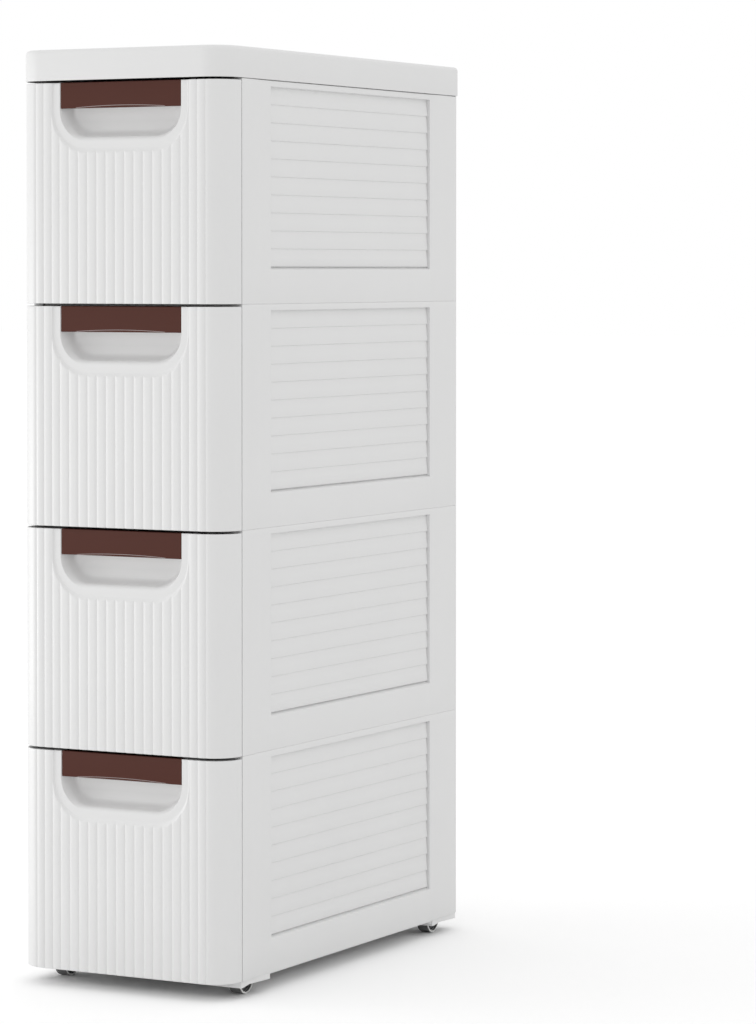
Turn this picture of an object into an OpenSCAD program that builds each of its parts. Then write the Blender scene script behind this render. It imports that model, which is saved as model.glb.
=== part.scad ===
// Slim rolling tower of stacked drawer tiers with louvred sides and fluted drawer fronts.
// Millimetres. +Z up, drawers open towards -Y. Origin on the floor under the middle of the tower.

/* [Tower] */
// Width over the side panels
body_w = 220; // [212:1:260]
// Depth from the drawer faces to the rear edge
body_d = 448; // [410:1:490]
// Height of one tier, joint to joint
tier_h = 200; // [195:1:230]
// Height of the top cover
cover_h = 28; // [24:1:36]
// How far the cover stands out past the body on every side
cover_lip = 0.5; // [0.3:0.1:1.5]
// Radius of the vertical corners at the front
front_r = 25.5; // [22:0.5:26]
// Radius of the vertical corners at the rear
rear_r = 8.5; // [6:0.5:8.5]
// Wall of the large mouldings
wall = 2.2; // [2:0.1:2.4]

/* [Side panels] */
// Depth of the moulded channel that a side panel forms
panel_t = 10; // [10:0.5:11]
// How far the corner posts bulge past the flat of the panel
post_crown = 0.8; // [0.4:0.1:1.2]
// Width of a front corner post, front to back
post_w = 34; // [30:0.5:44]
// Width of a rear corner post, front to back
rear_post_w = 53; // [51:0.5:56]
// Slats in one louvre field
slat_count = 10; // [6:1:12]
// Depth of a slat's top edge below the flat of the panel
slat_deep = 3.9; // [3.5:0.1:4]
// Depth of a slat's bottom edge below the flat of the panel
slat_shallow = 1.7; // [1.2:0.1:2]
// Flat left above the louvre field
field_top = 5.8; // [5:0.2:12]
// Flat left below the louvre field
field_bottom = 31; // [28:1:40]

/* [Drawers] */
// Depth of a drawer front, face to back edge
front_d = 28; // [27.5:0.1:28.5]
// Gap above each drawer front
front_gap = 1.8; // [1.4:0.1:2.4]
// Reeds across the scoop's width
reed_count = 13; // [9:2:17]
// Narrower reeds beside the scoop, on each side
side_reeds = 3; // [1:1:4]
// Depth of the grooves between the reeds
reed_deep = 0.9; // [0.6:0.1:1.1]
// Width of the finger scoop
scoop_w = 127; // [110:1:130]
// Height of the finger scoop, with the grip
scoop_h = 52; // [48:1:56]
// Depth of the finger scoop behind the face
scoop_d = 17.5; // [15:0.5:18]
// Height of the clip-on grip bar
grip_h = 24; // [20:0.5:26]
// How far a drawer pulls out before its ears meet the stops
drawer_travel = 320; // [200:5:320]

/* [Rollers] */
// Diameter of a roller
roller_d = 24; // [23:0.5:24.5]
// Width of a roller
roller_w = 12; // [9:0.5:12]
// Clearance from the feet to the floor
floor_gap = 10; // [10:0.1:10.4]
// Height of a foot below the side panels
foot_h = 6; // [6:0.1:6.4]

/* [Hidden] */
TIERS = [1, 2, 3, 4];
SIDES = ["left", "right"];
CORNERS = ["front_left", "front_right", "rear_left", "rear_right"];

$fn = 48;
hull_fn = 32;          // facets of round forms inside a hull
eps = 0.01;            // overlap that joins touching solids of one moulding

SHELL_WHITE = [0.91, 0.91, 0.90];
GRIP_BROWN = [0.35, 0.22, 0.20];
ROLLER_GREY = [0.80, 0.80, 0.79];
HOUSING_GREY = [0.30, 0.30, 0.31];
PIN_STEEL = [0.62, 0.63, 0.65];

// Heights
frame_z = floor_gap + foot_h;                     // bottom edge of the side panels
cover_z = frame_z + len(TIERS) * tier_h;          // bottom edge of the cover's skirt
function tier_z(k) = frame_z + (len(TIERS) - k) * tier_h;

// Front-to-back places
face_y = -body_d / 2;                             // drawer faces
back_y = body_d / 2;                              // rear edge
frame_y = face_y + front_d + 0.7;                 // front edge of the side panels
shell_back_y = face_y + front_d;                  // back edge of a drawer front

// Side panel planes, for the right-hand side
flat_x = body_w / 2 - post_crown;                 // flat of the panel
inner_x = body_w / 2 - panel_t;                   // open inner side of the channel
skin_x = flat_x - wall;                           // inner face of the outer skin
front_post = [frame_y, frame_y + post_w];         // span of the front post
rear_post = [back_y - rear_r - rear_post_w, back_y - rear_r];   // span of the rear post
field_y = [frame_y + 52.4, rear_post[0] + 0.1];
field_z = [field_bottom, tier_h - field_top];
groove_h = 2.2;                                   // shadow groove under the last slat
slat_h = (field_z[1] - field_z[0] - groove_h) / slat_count;
slat_wall = 2;
jamb = 2;                                         // wall round the louvre field
rib = 1.6;                                        // stiffening ribs

// Joints between tiers
tongue_t = 2.2;                                   // plate edge held between two panels
slot_h = tongue_t + 0.2;
tongue_x = skin_x - 0.4;
back_half = inner_x + 2.2;                        // half width of a back panel
back_plate_t = 2.4;
keeper_y = back_y - wall - back_plate_t - 0.6 - wall;   // rib that keeps the back panel in
peg_x = inner_x + 3.7;
peg_y = [frame_y + 8, back_y - 53.5];
peg_r = 2.4;
peg_bore_r = 2.48;
peg_socket_r = 3.6;
peg_len = 8;

// Drawer runners
rail_x = 78;
rail_w = 8;
rail_h = 2;
skid_h = 1.5;
run_gap = 0.3;                                    // clearance under a drawer's skids
skid_z = tongue_t + rail_h + run_gap;             // underside of the skids above the tier's joint
box_bottom = skid_z + skid_h;
box_top = tier_h - 16;
box_r = 12;                                       // bottom edge of the drawer box
box_corner_r = 11;
box_w_top = 2 * (inner_x - 6);
box_w_bottom = 2 * (inner_x - 15);
box_back = back_y - 18;
box_wall = 1.8;
rim_out = 2.5;
rim_h = 2.5;
ear_y = [box_back - 5.5, box_back + 2.5];
ear_x = inner_x - 0.4;
guide_z = box_top + 1.4;                          // underside of the anti-tilt rib
guide_x = inner_x - 3.5;
flange_gap = 0.3;
stop_x = inner_x - 3;
stop_y = ear_y[0] - drawer_travel - 0.3;          // rear face of the drawer stop

// Drawer front
front_h = tier_h - front_gap;
round_x = body_w / 2 - front_r;                   // the rounded corners begin here
reed_pitch = scoop_w / reed_count;
side_half = body_w / 2 - 20.9;                    // outermost groove between reeds
side_pitch = (side_half - scoop_w / 2) / side_reeds;
front_wall = 2.4;
band = 7;                                         // smooth band round the scoop
scoop_r = 23;
scoop_wall = 2;
grip_set = 2.4;                                   // grip face behind the drawer face
grip_t = 3;
grip_fit = 0.2;
tab = 3;                                          // reach of the grip's end tabs
tab_z = [9, 18];                                  // their span below the top edge
post_x = inner_x - 9;                             // snap posts that hold the box to the front
post_z = [22, front_h - 70];
post_r = 3.5;
post_start = 2.2;                                 // they grow out of the front's own wall
snap_r = 2;

// Rollers and their corner feet
roller_r = roller_d / 2;
foot_x = flat_x - 0.5;
base_y = [frame_y, back_y - 3.5];
foot_y = [[base_y[0], base_y[0] + 50.6], [base_y[1] - 51.6, base_y[1]]];
foot_r = 5;                                       // outer rear corners of the feet
foot_notch = 1.7;                                 // rise of a foot's lower edge over the roller
roller_x = inner_x - 7.6;
roller_y = [frame_y + 26.5, back_y - 34];
axle_r = 1.5;
axle_fit = 0.06;
cheek = 1.9;
cheek_top = 0.85;                                 // cheeks above the tongue, beside the panel
side_fit = 0.4;                                   // roller to cheek
housing_x = roller_w / 2 + side_fit + cheek;      // half width of a housing
housing_top_x = roller_w / 2 + side_fit + cheek_top;
housing_y = roller_r + 2.4;                       // half length of a housing
housing_top = roller_d + 2.4;
collar_fit = 0.3;

// One point for each step of an arc between two points of a wall that runs along Y
function crowned(y0, y1, x, rise, steps) =
    [for (i = [0 : steps]) let (t = i / steps) [x + rise * 4 * t * (1 - t), y0 + (y1 - y0) * t]];

// Half of a groove between two reeds: depth falls off as the reed turns into its crown
function groove_depth(s) = reed_deep * pow(max(0, 1 - 2 * s / reed_pitch), 3.5);
groove_reach = 0.3 * reed_pitch;
groove_steps = [0, 0.06, 0.16, 0.32, 0.6, 1];

// ---- shared forms ----

// Plan outline with one radius at the front corners and another at the rear corners
module plan_outline(w, y0, y1, r0, r1) {
    for (s = [-1, 1]) {
        translate([s * (w / 2 - r0), y0 + r0]) circle(r0);
        translate([s * (w / 2 - r1), y1 - r1]) circle(r1);
    }
    translate([-w / 2, y0 + r0]) square([w, y1 - y0 - r0 - r1]);
    translate([-w / 2 + r0, y0]) square([w - 2 * r0, r0 + 1]);
    translate([-w / 2 + r1, y1 - r1 - 1]) square([w - 2 * r1, r1 + 1]);
}

// Block between two opposite corners
module block(lo, hi) {
    translate(lo) cube([hi[0] - lo[0], hi[1] - lo[1], hi[2] - lo[2]]);
}

// U outline of the scoop, open upwards: x across, y up from the drawer front's top edge
module scoop_outline(grow, r, up) {
    half = scoop_w / 2 + grow;
    for (s = [-1, 1]) translate([s * (half - r), -scoop_h - grow + r]) circle(r);
    translate([-half + r, -scoop_h - grow]) square([2 * (half - r), r + eps]);
    translate([-half, -scoop_h - grow + r]) square([2 * half, scoop_h + grow - r + up]);
}

// Turns a flat outline into an upright slab from y0 to y1, its origin at height z
module upright(y0, y1, z) {
    translate([0, y1, z]) rotate([90, 0, 0]) linear_extrude(y1 - y0) children();
}

// Mirrors a right-hand part to the named side
module on_side(s) {
    if (s == "left") mirror([1, 0, 0]) children();
    else children();
}

// ---- top cover ----

// Round corner posts of one level of the cover; the hull round them makes its plan
module cover_slab(inset, z, t) {
    r0 = front_r + cover_lip - inset;
    r1 = max(1, rear_r + cover_lip - inset);
    half = body_w / 2 + cover_lip - inset;
    for (s = [-1, 1]) {
        translate([s * (half - r0), face_y - cover_lip + inset + r0, z]) cylinder(r = r0, h = t, $fn = hull_fn);
        translate([s * (half - r1), back_y + cover_lip - inset - r1, z]) cylinder(r = r1, h = t, $fn = hull_fn);
    }
}

module cover_body() {
    edge_r = 4;
    top = cover_z + cover_h;
    difference() {
        hull() {
            cover_slab(0, cover_z, 1);
            for (a = [0 : 22.5 : 90])
                cover_slab(edge_r * (1 - cos(a)), top - edge_r + edge_r * sin(a) - 0.1, 0.1);
        }
        translate([0, 0, cover_z - 1]) linear_extrude(cover_h + 1 - 2.6)
            plan_outline(body_w + 2 * cover_lip - 2 * wall, face_y - cover_lip + wall,
                         back_y + cover_lip - wall, front_r + cover_lip - wall,
                         rear_r + cover_lip - wall);
    }
}

module top_cover() {
    top = cover_z + cover_h;
    half = body_w / 2 - 1;
    rib_z = cover_z + 10;
    color(SHELL_WHITE) {
        cover_body();
        for (x = [-body_w / 4, 0, body_w / 4])
            block([x - rib / 2, face_y + 1, rib_z], [x + rib / 2, back_y - 1, top - 2.5]);
        for (i = [-3 : 3])
            block([-half, i * body_d / 8 - rib / 2, rib_z], [half, i * body_d / 8 + rib / 2, top - 2.5]);
        // seats that rest on the upper side panels and take their pegs
        for (s = [-1, 1]) for (y = peg_y) translate([s * peg_x, y, cover_z]) difference() {
            cylinder(r = peg_socket_r, h = cover_h - 2.5);
            translate([0, 0, -1]) cylinder(r = peg_bore_r, h = peg_len + 2);
        }
    }
}

// ---- side panels ----

// Section across the slats: the outer face leans out going down, then steps back in
module slat_section() {
    top = field_z[1];
    outer = [for (i = [0 : slat_count - 1]) let (z = top - i * slat_h) each [
        [flat_x - slat_deep, z],
        [flat_x - slat_shallow, z - slat_h + 1],
        [flat_x - slat_shallow - 0.4, z - slat_h + 0.15],
        [flat_x - slat_deep + 0.2, z - slat_h]]];
    inner = [for (i = [slat_count - 1 : -1 : 0]) let (z = top - i * slat_h) each [
        [flat_x - slat_shallow - slat_wall, z - slat_h + slat_wall + 0.2],
        [flat_x - slat_deep - slat_wall, z - (i == 0 ? 0 : slat_wall - 0.2)]]];
    polygon(concat(outer, [
        [flat_x - slat_deep, field_z[0]],
        [flat_x - slat_deep - slat_wall, field_z[0]],
        [flat_x - slat_deep - slat_wall, field_z[0] + groove_h + slat_wall]], inner));
}

// Plan section of the panel: two crowned posts joined by the flat, turned in at both ends
module panel_section() {
    contour = concat(
        [[inner_x, frame_y], [flat_x - 0.6, frame_y]],
        crowned(front_post[0] + 0.6, front_post[1], flat_x, post_crown, 8),
        crowned(rear_post[0], rear_post[1], flat_x, post_crown, 8),
        corner_arc(rear_r),
        [[inner_x, back_y]]);
    difference() {
        polygon(contour);
        polygon(concat([[inner_x - 1, frame_y + wall], [skin_x, frame_y + wall]],
                       corner_arc(rear_r - wall), [[inner_x - 1, back_y - wall]]));
    }
}

// Rear corner of a panel, drawn about the centre of its outer radius
function corner_arc(r) = [for (a = [0 : 15 : 90])
    [flat_x - rear_r + r * cos(a), back_y - rear_r + r * sin(a)]];

module side_panel(k, s) {
    slat_back = flat_x - slat_deep - slat_wall;
    ribs_y = [field_y[0] + (field_y[1] - field_y[0]) / 4, (field_y[0] + field_y[1]) / 2,
              field_y[1] - (field_y[1] - field_y[0]) / 4];
    color(SHELL_WHITE) on_side(s) translate([0, 0, tier_z(k)]) difference() {
        union() {
            difference() {
                linear_extrude(tier_h) panel_section();
                block([inner_x, field_y[0], field_z[0]], [body_w, field_y[1], field_z[1]]);
            }
            // walls round the louvre field
            difference() {
                block([inner_x, field_y[0] - jamb, field_z[0] - jamb],
                      [skin_x + eps, field_y[1] + jamb, field_z[1] + jamb]);
                block([inner_x - 1, field_y[0], field_z[0]], [body_w, field_y[1], field_z[1]]);
            }
            translate([0, field_y[1] + eps, 0]) rotate([90, 0, 0])
                linear_extrude(field_y[1] - field_y[0] + 2 * eps) slat_section();
            // upright ribs behind the slats and along the posts
            for (y = ribs_y)
                block([inner_x, y - rib / 2, slot_h],
                      [slat_back + 0.6, y + rib / 2, tier_h]);
            // rims above and below; the lower one leaves the slot for the shelf's tongue
            block([inner_x, frame_y + wall - eps, slot_h], [skin_x + eps, keeper_y + wall, slot_h + wall]);
            block([inner_x, frame_y + wall - eps, tier_h - wall], [skin_x + eps, keeper_y + wall, tier_h]);
            // rib that keeps the back panel against the rear flange
            block([inner_x, keeper_y, slot_h], [skin_x + eps, keeper_y + wall, tier_h]);
            // anti-tilt rib above the drawer's rim, and the stop that its ears meet
            block([guide_x, frame_y + 6, guide_z], [inner_x + eps, keeper_y + wall, guide_z + 2]);
            block([inner_x - eps, frame_y + wall - eps, guide_z],
                  [slat_back + 0.6, keeper_y + wall, guide_z + 2]);
            for (y = [[frame_y + wall - eps, field_y[0] - jamb + eps], [field_y[1] + jamb - eps, keeper_y + wall]])
                block([inner_x, y[0], guide_z], [skin_x + eps, y[1], guide_z + 2]);
            block([stop_x, stop_y - 6, guide_z - 5], [inner_x + 2, stop_y, guide_z + 1]);
            // pegs standing up on short columns, and sockets for the pegs of whatever is below
            for (y = peg_y) {
                translate([peg_x, y, tier_h - peg_len - 4]) cylinder(r = peg_socket_r, h = peg_len + 4);
                translate([peg_x, y, tier_h - wall]) cylinder(r = peg_r, h = wall + peg_len);
                translate([peg_x, y, slot_h]) cylinder(r = peg_socket_r, h = peg_len + 2);
            }
        }
        for (y = peg_y)
            translate([peg_x, y, slot_h - 1]) cylinder(r = peg_bore_r, h = peg_len + 1.5);
    }
}

// ---- back panels ----

module back_panel(k) {
    half = back_half;
    y = back_y - wall - back_plate_t - 0.3;
    color(SHELL_WHITE) translate([0, 0, tier_z(k)]) {
        difference() {
            block([-half, y, 0], [half, y + back_plate_t, tier_h - 0.2]);
            // sunk field with a plain border, open to the rear
            block([-half + 22, y + back_plate_t - 0.8, 20], [half - 22, y + 9, tier_h - 20]);
        }
        for (x = [-half / 2, 0, half / 2])
            block([x - rib / 2, y - 2, 12], [x + rib / 2, y + eps, tier_h - 12]);
        for (z = [12, tier_h / 2, tier_h - 12 - rib])
            block([-half / 2, y - 2, z], [half / 2, y + eps, z + rib]);
    }
}

// ---- shelves between the tiers, and the base ----

// Plate with its two drawer rails, top of the plate at the height of the tongue
module runner_plate(x_out, y0, y1) {
    block([-x_out, y0, 0], [x_out, y1, tongue_t]);
    for (s = [-1, 1])
        translate([s * rail_x, 0, 0]) block([-rail_w / 2, y0 + 5, tongue_t - eps],
                                            [rail_w / 2, y1 - 4, tongue_t + rail_h]);
}

module divider(k) {
    y0 = frame_y + wall + 0.3;
    y1 = keeper_y - 0.4;
    half = inner_x - 0.3;
    drop = 7;
    color(SHELL_WHITE) translate([0, 0, tier_z(k)]) {
        difference() {
            runner_plate(tongue_x, y0, y1);
            for (s = [-1, 1]) for (y = peg_y)
                translate([s * peg_x, y, -1]) cylinder(r = peg_r + 0.4, h = tongue_t + 2);
        }
        // rim and ribs hanging under the plate
        difference() {
            block([-half, y0, -drop], [half, y1, eps]);
            block([-half + wall, y0 + wall, -drop - 1], [half - wall, y1 - wall, 0]);
        }
        for (x = [-half / 2, 0, half / 2])
            block([x - rib / 2, y0 + 1, -drop + 1], [x + rib / 2, y1 - 1, eps]);
        for (i = [1 : 5]) let (y = y0 + (y1 - y0) * i / 6)
            block([-half + 1, y - rib / 2, -drop + 1], [half - 1, y + rib / 2, eps]);
    }
}

// Pocket that one roller housing pushes up into
module housing_pocket(grow, z0, z1) {
    half_x = housing_x + grow;
    half_y = housing_y + grow;
    for (s = [-1, 1]) for (y = roller_y)
        translate([s * roller_x, y, 0]) block([-half_x, -half_y, z0], [half_x, half_y, z1]);
}

// Cuts a foot's lower edge away over its roller
module foot_notches() {
    for (y = foot_y) let (y0 = y[0], y1 = y[1])
        translate([-body_w, 0, 0]) rotate([90, 0, 90]) linear_extrude(2 * body_w) polygon([
            [y0 + 3, floor_gap], [y0 + 14, floor_gap + foot_notch], [y1 + 1, floor_gap + 0.5],
            [y1 + 1, floor_gap - 2], [y0 + 3, floor_gap - 2]]);
}

// Rounds the outer rear corners of the feet
module foot_corners() {
    for (m = [0, 1]) mirror([m, 0, 0])
        translate([foot_x - foot_r, base_y[1] - foot_r, floor_gap - 1]) linear_extrude(foot_h + 1.5)
            difference() {
                square(foot_r + 1);
                circle(foot_r);
            }
}

module base_tray() {
    plate_z = frame_z;
    foot_in = roller_x - housing_x - 6;
    in_x = inner_x - 1;
    color(SHELL_WHITE) difference() {
        union() {
            translate([0, 0, plate_z]) runner_plate(tongue_x, frame_y + wall + 0.3, keeper_y - 0.4);
            block([-in_x, base_y[0] + 1, plate_z - 1.5], [in_x, base_y[1] - 1, plate_z - eps]);
            // flange that the lowest side panels stand on
            block([-foot_x, base_y[0], plate_z - 1], [foot_x, base_y[1], plate_z]);
            block([-in_x, frame_y + wall + 0.4, plate_z - 1], [in_x, keeper_y - 0.5, plate_z + eps]);
            // four corner feet, open underneath
            difference() {
                for (s = [-1, 1]) for (y = foot_y) difference() {
                    block([s > 0 ? foot_in : -foot_x, y[0], floor_gap],
                          [s > 0 ? foot_x : -foot_in, y[1], plate_z]);
                    block([s > 0 ? foot_in + wall : -foot_x + wall, y[0] + wall, floor_gap - 1],
                          [s > 0 ? foot_x - wall : -foot_in - wall, y[1] - wall - 1, plate_z - wall]);
                }
                foot_notches();
            }
            // rails between the feet, front and rear, and the sides set in between them
            block([-foot_in - 1, base_y[0], floor_gap], [foot_in + 1, base_y[0] + wall, plate_z]);
            block([-foot_in - 1, base_y[1] - wall, floor_gap], [foot_in + 1, base_y[1], plate_z]);
            for (s = [-1, 1])
                block([s > 0 ? foot_in : -foot_in - wall, foot_y[0][1] - 1, floor_gap + 1],
                      [s > 0 ? foot_in + wall : -foot_in, foot_y[1][0] + 1, plate_z - eps]);
            // ribs under the plate
            for (x = [-foot_in / 2, 0, foot_in / 2])
                block([x - rib / 2, base_y[0] + 1, floor_gap + 1],
                      [x + rib / 2, base_y[1] - 1, plate_z - eps]);
            for (i = [1 : 5]) let (y = base_y[0] + (base_y[1] - base_y[0]) * i / 6)
                block([-foot_in - 1, y - rib / 2, floor_gap + 1], [foot_in + 1, y + rib / 2, plate_z - eps]);
            // collars round the roller housings, and pegs for the lowest side panels
            housing_pocket(collar_fit + 1.6, floor_gap + 2, plate_z);
            for (s = [-1, 1]) for (y = peg_y) translate([s * peg_x, y, 0]) {
                translate([0, 0, floor_gap + 2]) cylinder(r = peg_socket_r, h = foot_h - 2);
                translate([0, 0, plate_z - 1]) cylinder(r = peg_r, h = peg_len + 1);
            }
        }
        housing_pocket(collar_fit, floor_gap - 1, plate_z + 20);
        foot_corners();
    }
}

// ---- drawers ----

// One level of the tapered box, w wide at the given height, pulled in by inset
module box_level(z, inset, thin) {
    t = (z - box_bottom) / (box_top - box_bottom);
    w = box_w_bottom + (box_w_top - box_w_bottom) * t - 2 * (inset + thin);
    lean = (1 - t) * 3 + inset + thin;
    r = max(2, box_corner_r - thin);
    translate([0, 0, z]) linear_extrude(0.05)
        plan_outline(w, shell_back_y + 0.1 + thin + inset, box_back - lean, r, r, $fn = hull_fn);
}

module box_form(thin) {
    r = box_r - thin;
    hull() {
        for (a = [0 : 22.5 : 90])
            box_level(box_bottom + thin + r * (1 - cos(a)), r * (1 - sin(a)), thin);
        box_level(box_top - 0.05, 0, thin);
    }
}

module drawer_box(k) {
    rim_w = box_w_top + 2 * rim_out;
    flange_x = body_w / 2 - front_wall - flange_gap;
    flange_z = [front_wall + flange_gap, front_h - front_wall - flange_gap];
    color(SHELL_WHITE) translate([0, 0, tier_z(k)]) difference() {
        union() {
            box_form(0);
            translate([0, 0, box_top - rim_h]) linear_extrude(rim_h)
                plan_outline(rim_w, shell_back_y + 0.1, box_back + rim_out, box_corner_r, box_corner_r + rim_out);
            // ears that meet the stops
            for (s = [-1, 1])
                block([s > 0 ? rim_w / 2 - 14 : -ear_x, ear_y[0], box_top - rim_h],
                      [s > 0 ? ear_x : -rim_w / 2 + 14, ear_y[1], box_top]);
            // plate that closes the back of the drawer front
            block([-flange_x, shell_back_y - 2.2, flange_z[0]], [flange_x, shell_back_y + 0.1, flange_z[1]]);
            // skids and the ribs that stiffen the bottom
            for (s = [-1, 1])
                translate([s * rail_x, 0, 0]) block([-3, shell_back_y + 14, skid_z],
                                                    [3, box_back - 16, box_bottom + 2.5]);
        }
        box_inside();
        for (s = [-1, 1]) for (z = post_z)
            translate([s * post_x, shell_back_y - 3, z]) rotate([-90, 0, 0]) cylinder(r = snap_r + 0.2, h = 4);
    }
}

// Hollow of the box, its front wall being the flange plate's own thickness
module box_inside() {
    box_form(box_wall);
    translate([0, 0, box_top - 0.1]) linear_extrude(2)
        plan_outline(box_w_top - 2 * box_wall, shell_back_y + 0.1 + box_wall, box_back - box_wall,
                     box_corner_r - box_wall, box_corner_r - box_wall);
}

// Grooves between the reeds, left out inside the smooth band round the scoop
module reed_grooves() {
    half = [for (t = groove_steps) [t * groove_reach, groove_depth(t * groove_reach)]];
    edge = groove_depth(groove_reach);
    profile = concat(
        [for (i = [len(half) - 1 : -1 : 1]) [-half[i][0], half[i][1] - edge]],
        [for (p = half) [p[0], p[1] - edge]],
        [[groove_reach, -1], [-groove_reach, -1]]);
    difference() {
        union() {
            for (i = [0 : reed_count])
                translate([-scoop_w / 2 + i * reed_pitch, face_y, -1]) linear_extrude(tier_h + 2) polygon(profile);
            // the outermost grooves lie on the rounded corners
            for (m = [0, 1]) mirror([m, 0, 0])
                for (i = [1 : side_reeds])
                    let (x = scoop_w / 2 + i * side_pitch, turn = asin(max(0, (x - round_x) / front_r)))
                        translate([min(x, round_x), face_y + front_r, -1]) rotate(turn)
                            translate([0, -front_r, 0]) linear_extrude(tier_h + 2) polygon(profile);
        }
        upright(face_y - 2, face_y + 2, front_h) scoop_outline(band, scoop_r + band, 10);
    }
}

// The scoop's hollow, or its wall when grown, narrows towards its back
module scoop_form(grow, start, up) {
    hull() {
        upright(face_y + start, face_y + 4.6, front_h)
            scoop_outline(grow, scoop_r + grow, up, $fn = hull_fn);
        upright(face_y + scoop_d * 0.55, face_y + scoop_d * 0.6, front_h)
            scoop_outline(grow - 1.5, scoop_r + grow - 1, up, $fn = hull_fn);
        upright(face_y + scoop_d * 0.85, face_y + scoop_d * 0.88, front_h)
            scoop_outline(grow - 4, scoop_r + grow - 2, up, $fn = hull_fn);
        upright(face_y + scoop_d - 0.1 + grow, face_y + scoop_d + grow, front_h)
            scoop_outline(grow - 8, scoop_r + grow - 4, up, $fn = hull_fn);
    }
}

module drawer_front(k) {
    half = scoop_w / 2 + grip_fit;
    seat_y = face_y + scoop_d;
    color(SHELL_WHITE) translate([0, 0, tier_z(k)]) difference() {
        union() {
            difference() {
                linear_extrude(front_h) plan_outline(body_w, face_y, shell_back_y + 1, front_r, 0.5);
                translate([0, 0, front_wall]) linear_extrude(front_h - 2 * front_wall)
                    plan_outline(body_w - 2 * front_wall, face_y + front_wall, shell_back_y + 2,
                                 front_r - front_wall, 0.5);
            }
            scoop_form(scoop_wall, 0.4, 0);
            for (s = [-1, 1]) for (z = post_z)
                translate([s * post_x, face_y + post_start, z]) rotate([-90, 0, 0]) {
                    cylinder(r = post_r, h = front_d - post_start - 2.4);
                    cylinder(r = snap_r, h = front_d - post_start - 0.2);
                }
        }
        block([-body_w, shell_back_y, -1], [body_w, shell_back_y + 60, tier_h]);
        reed_grooves();
        scoop_form(0, -1, 2);
        // seat of the grip bar and the slots that its end tabs snap into
        block([-half, face_y - 1, front_h - front_wall - grip_fit], [half, seat_y, tier_h]);
        for (s = [-1, 1])
            block([s * half - tab - grip_fit, face_y + front_wall, front_h - tab_z[1] - grip_fit],
                  [s * half + tab + grip_fit, face_y + grip_set + grip_t + grip_fit, front_h - tab_z[0] + grip_fit]);
    }
}

// Slab of the grip's section, reaching half way to each side
module grip_run(half, points) {
    translate([-half, 0, 0]) rotate([90, 0, 90]) linear_extrude(2 * half) polygon(points);
}

// Clip-on bar that bridges the top of the scoop: face, top and a turned-in lower edge
module handle_grip(k) {
    half = scoop_w / 2 - grip_fit;
    y0 = face_y + grip_set;
    y1 = y0 + grip_t;
    back = face_y + scoop_d - grip_fit;
    top = front_h;
    low = top - grip_h;
    color(GRIP_BROWN) translate([0, 0, tier_z(k)]) {
        grip_run(half, [
            [y0, low + 1.6], [y0 + 0.5, low + 0.5], [y0 + 1.4, low], [y1, low], [y1, top - front_wall],
            [back - 0.4, top - front_wall], [back, top - front_wall + 0.6], [back, top - 0.1],
            [y0 + 0.8, top - 0.1], [y0 + 0.2, top - 0.4], [y0, top - 1]]);
        grip_run(half - 1.6, [
            [y1 - eps, low], [y0 + 5.5, low], [y0 + 6, low + 0.6], [y0 + 5.6, low + 2], [y1 - eps, low + 2.6]]);
        for (s = [-1, 1]) {
            block([s * half - tab, face_y + front_wall + grip_fit, top - tab_z[1]],
                  [s * half + tab, y1, top - tab_z[0]]);
            // web that stiffens the bar near its end
            translate([s * (half - 5.5), 0, 0]) grip_run(rib / 2, [
                [y1 - eps, low + 4], [y0 + 6.5, top - 8], [back - 3, top - front_wall - 1],
                [back - 3, top - front_wall + eps], [y1 - eps, top - front_wall + eps]]);
        }
    }
}

// ---- rollers ----

function corner_x(c) = (c == "front_left" || c == "rear_left") ? -roller_x : roller_x;
function corner_y(c) = (c == "front_left" || c == "front_right") ? roller_y[0] : roller_y[1];

module at_corner(c) {
    translate([corner_x(c), corner_y(c), roller_r]) children();
}

// Round bar or bore along X, centred
module along_x(r, len) {
    rotate([0, 90, 0]) translate([0, 0, -len / 2]) cylinder(r = r, h = len);
}

module roller_housing(c) {
    top = housing_top - roller_r;
    low = floor_gap + 0.2 - roller_r;
    step = frame_z + tongue_t - 0.2 - roller_r;
    color(HOUSING_GREY) at_corner(c) difference() {
        union() {
            block([-housing_x, -housing_y, low], [housing_x, housing_y, step]);
            block([-housing_top_x, -housing_y, low], [housing_top_x, housing_y, top]);
            // shoulder that bears on the collar of the base
            block([-housing_x - 1.2, -housing_y - 1.2, low], [housing_x + 1.2, housing_y + 1.2, low + 1.5]);
            // barbs that snap over the base plate
            for (m = [0, 1]) mirror([0, m, 0])
                translate([-4, 0, step + 0.4]) rotate([90, 0, 90]) linear_extrude(8) polygon([
                    [housing_y - 1, 0], [housing_y + 0.9, 0], [housing_y + 0.9, 0.6],
                    [housing_y, 3.2], [housing_y - 1, 3.2]]);
        }
        block([-roller_w / 2 - side_fit, -housing_y + 1.4, low - 9],
              [roller_w / 2 + side_fit, housing_y - 1.4, top - 1.4]);
        along_x(axle_r + 0.03, 3 * housing_x);
    }
}

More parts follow.
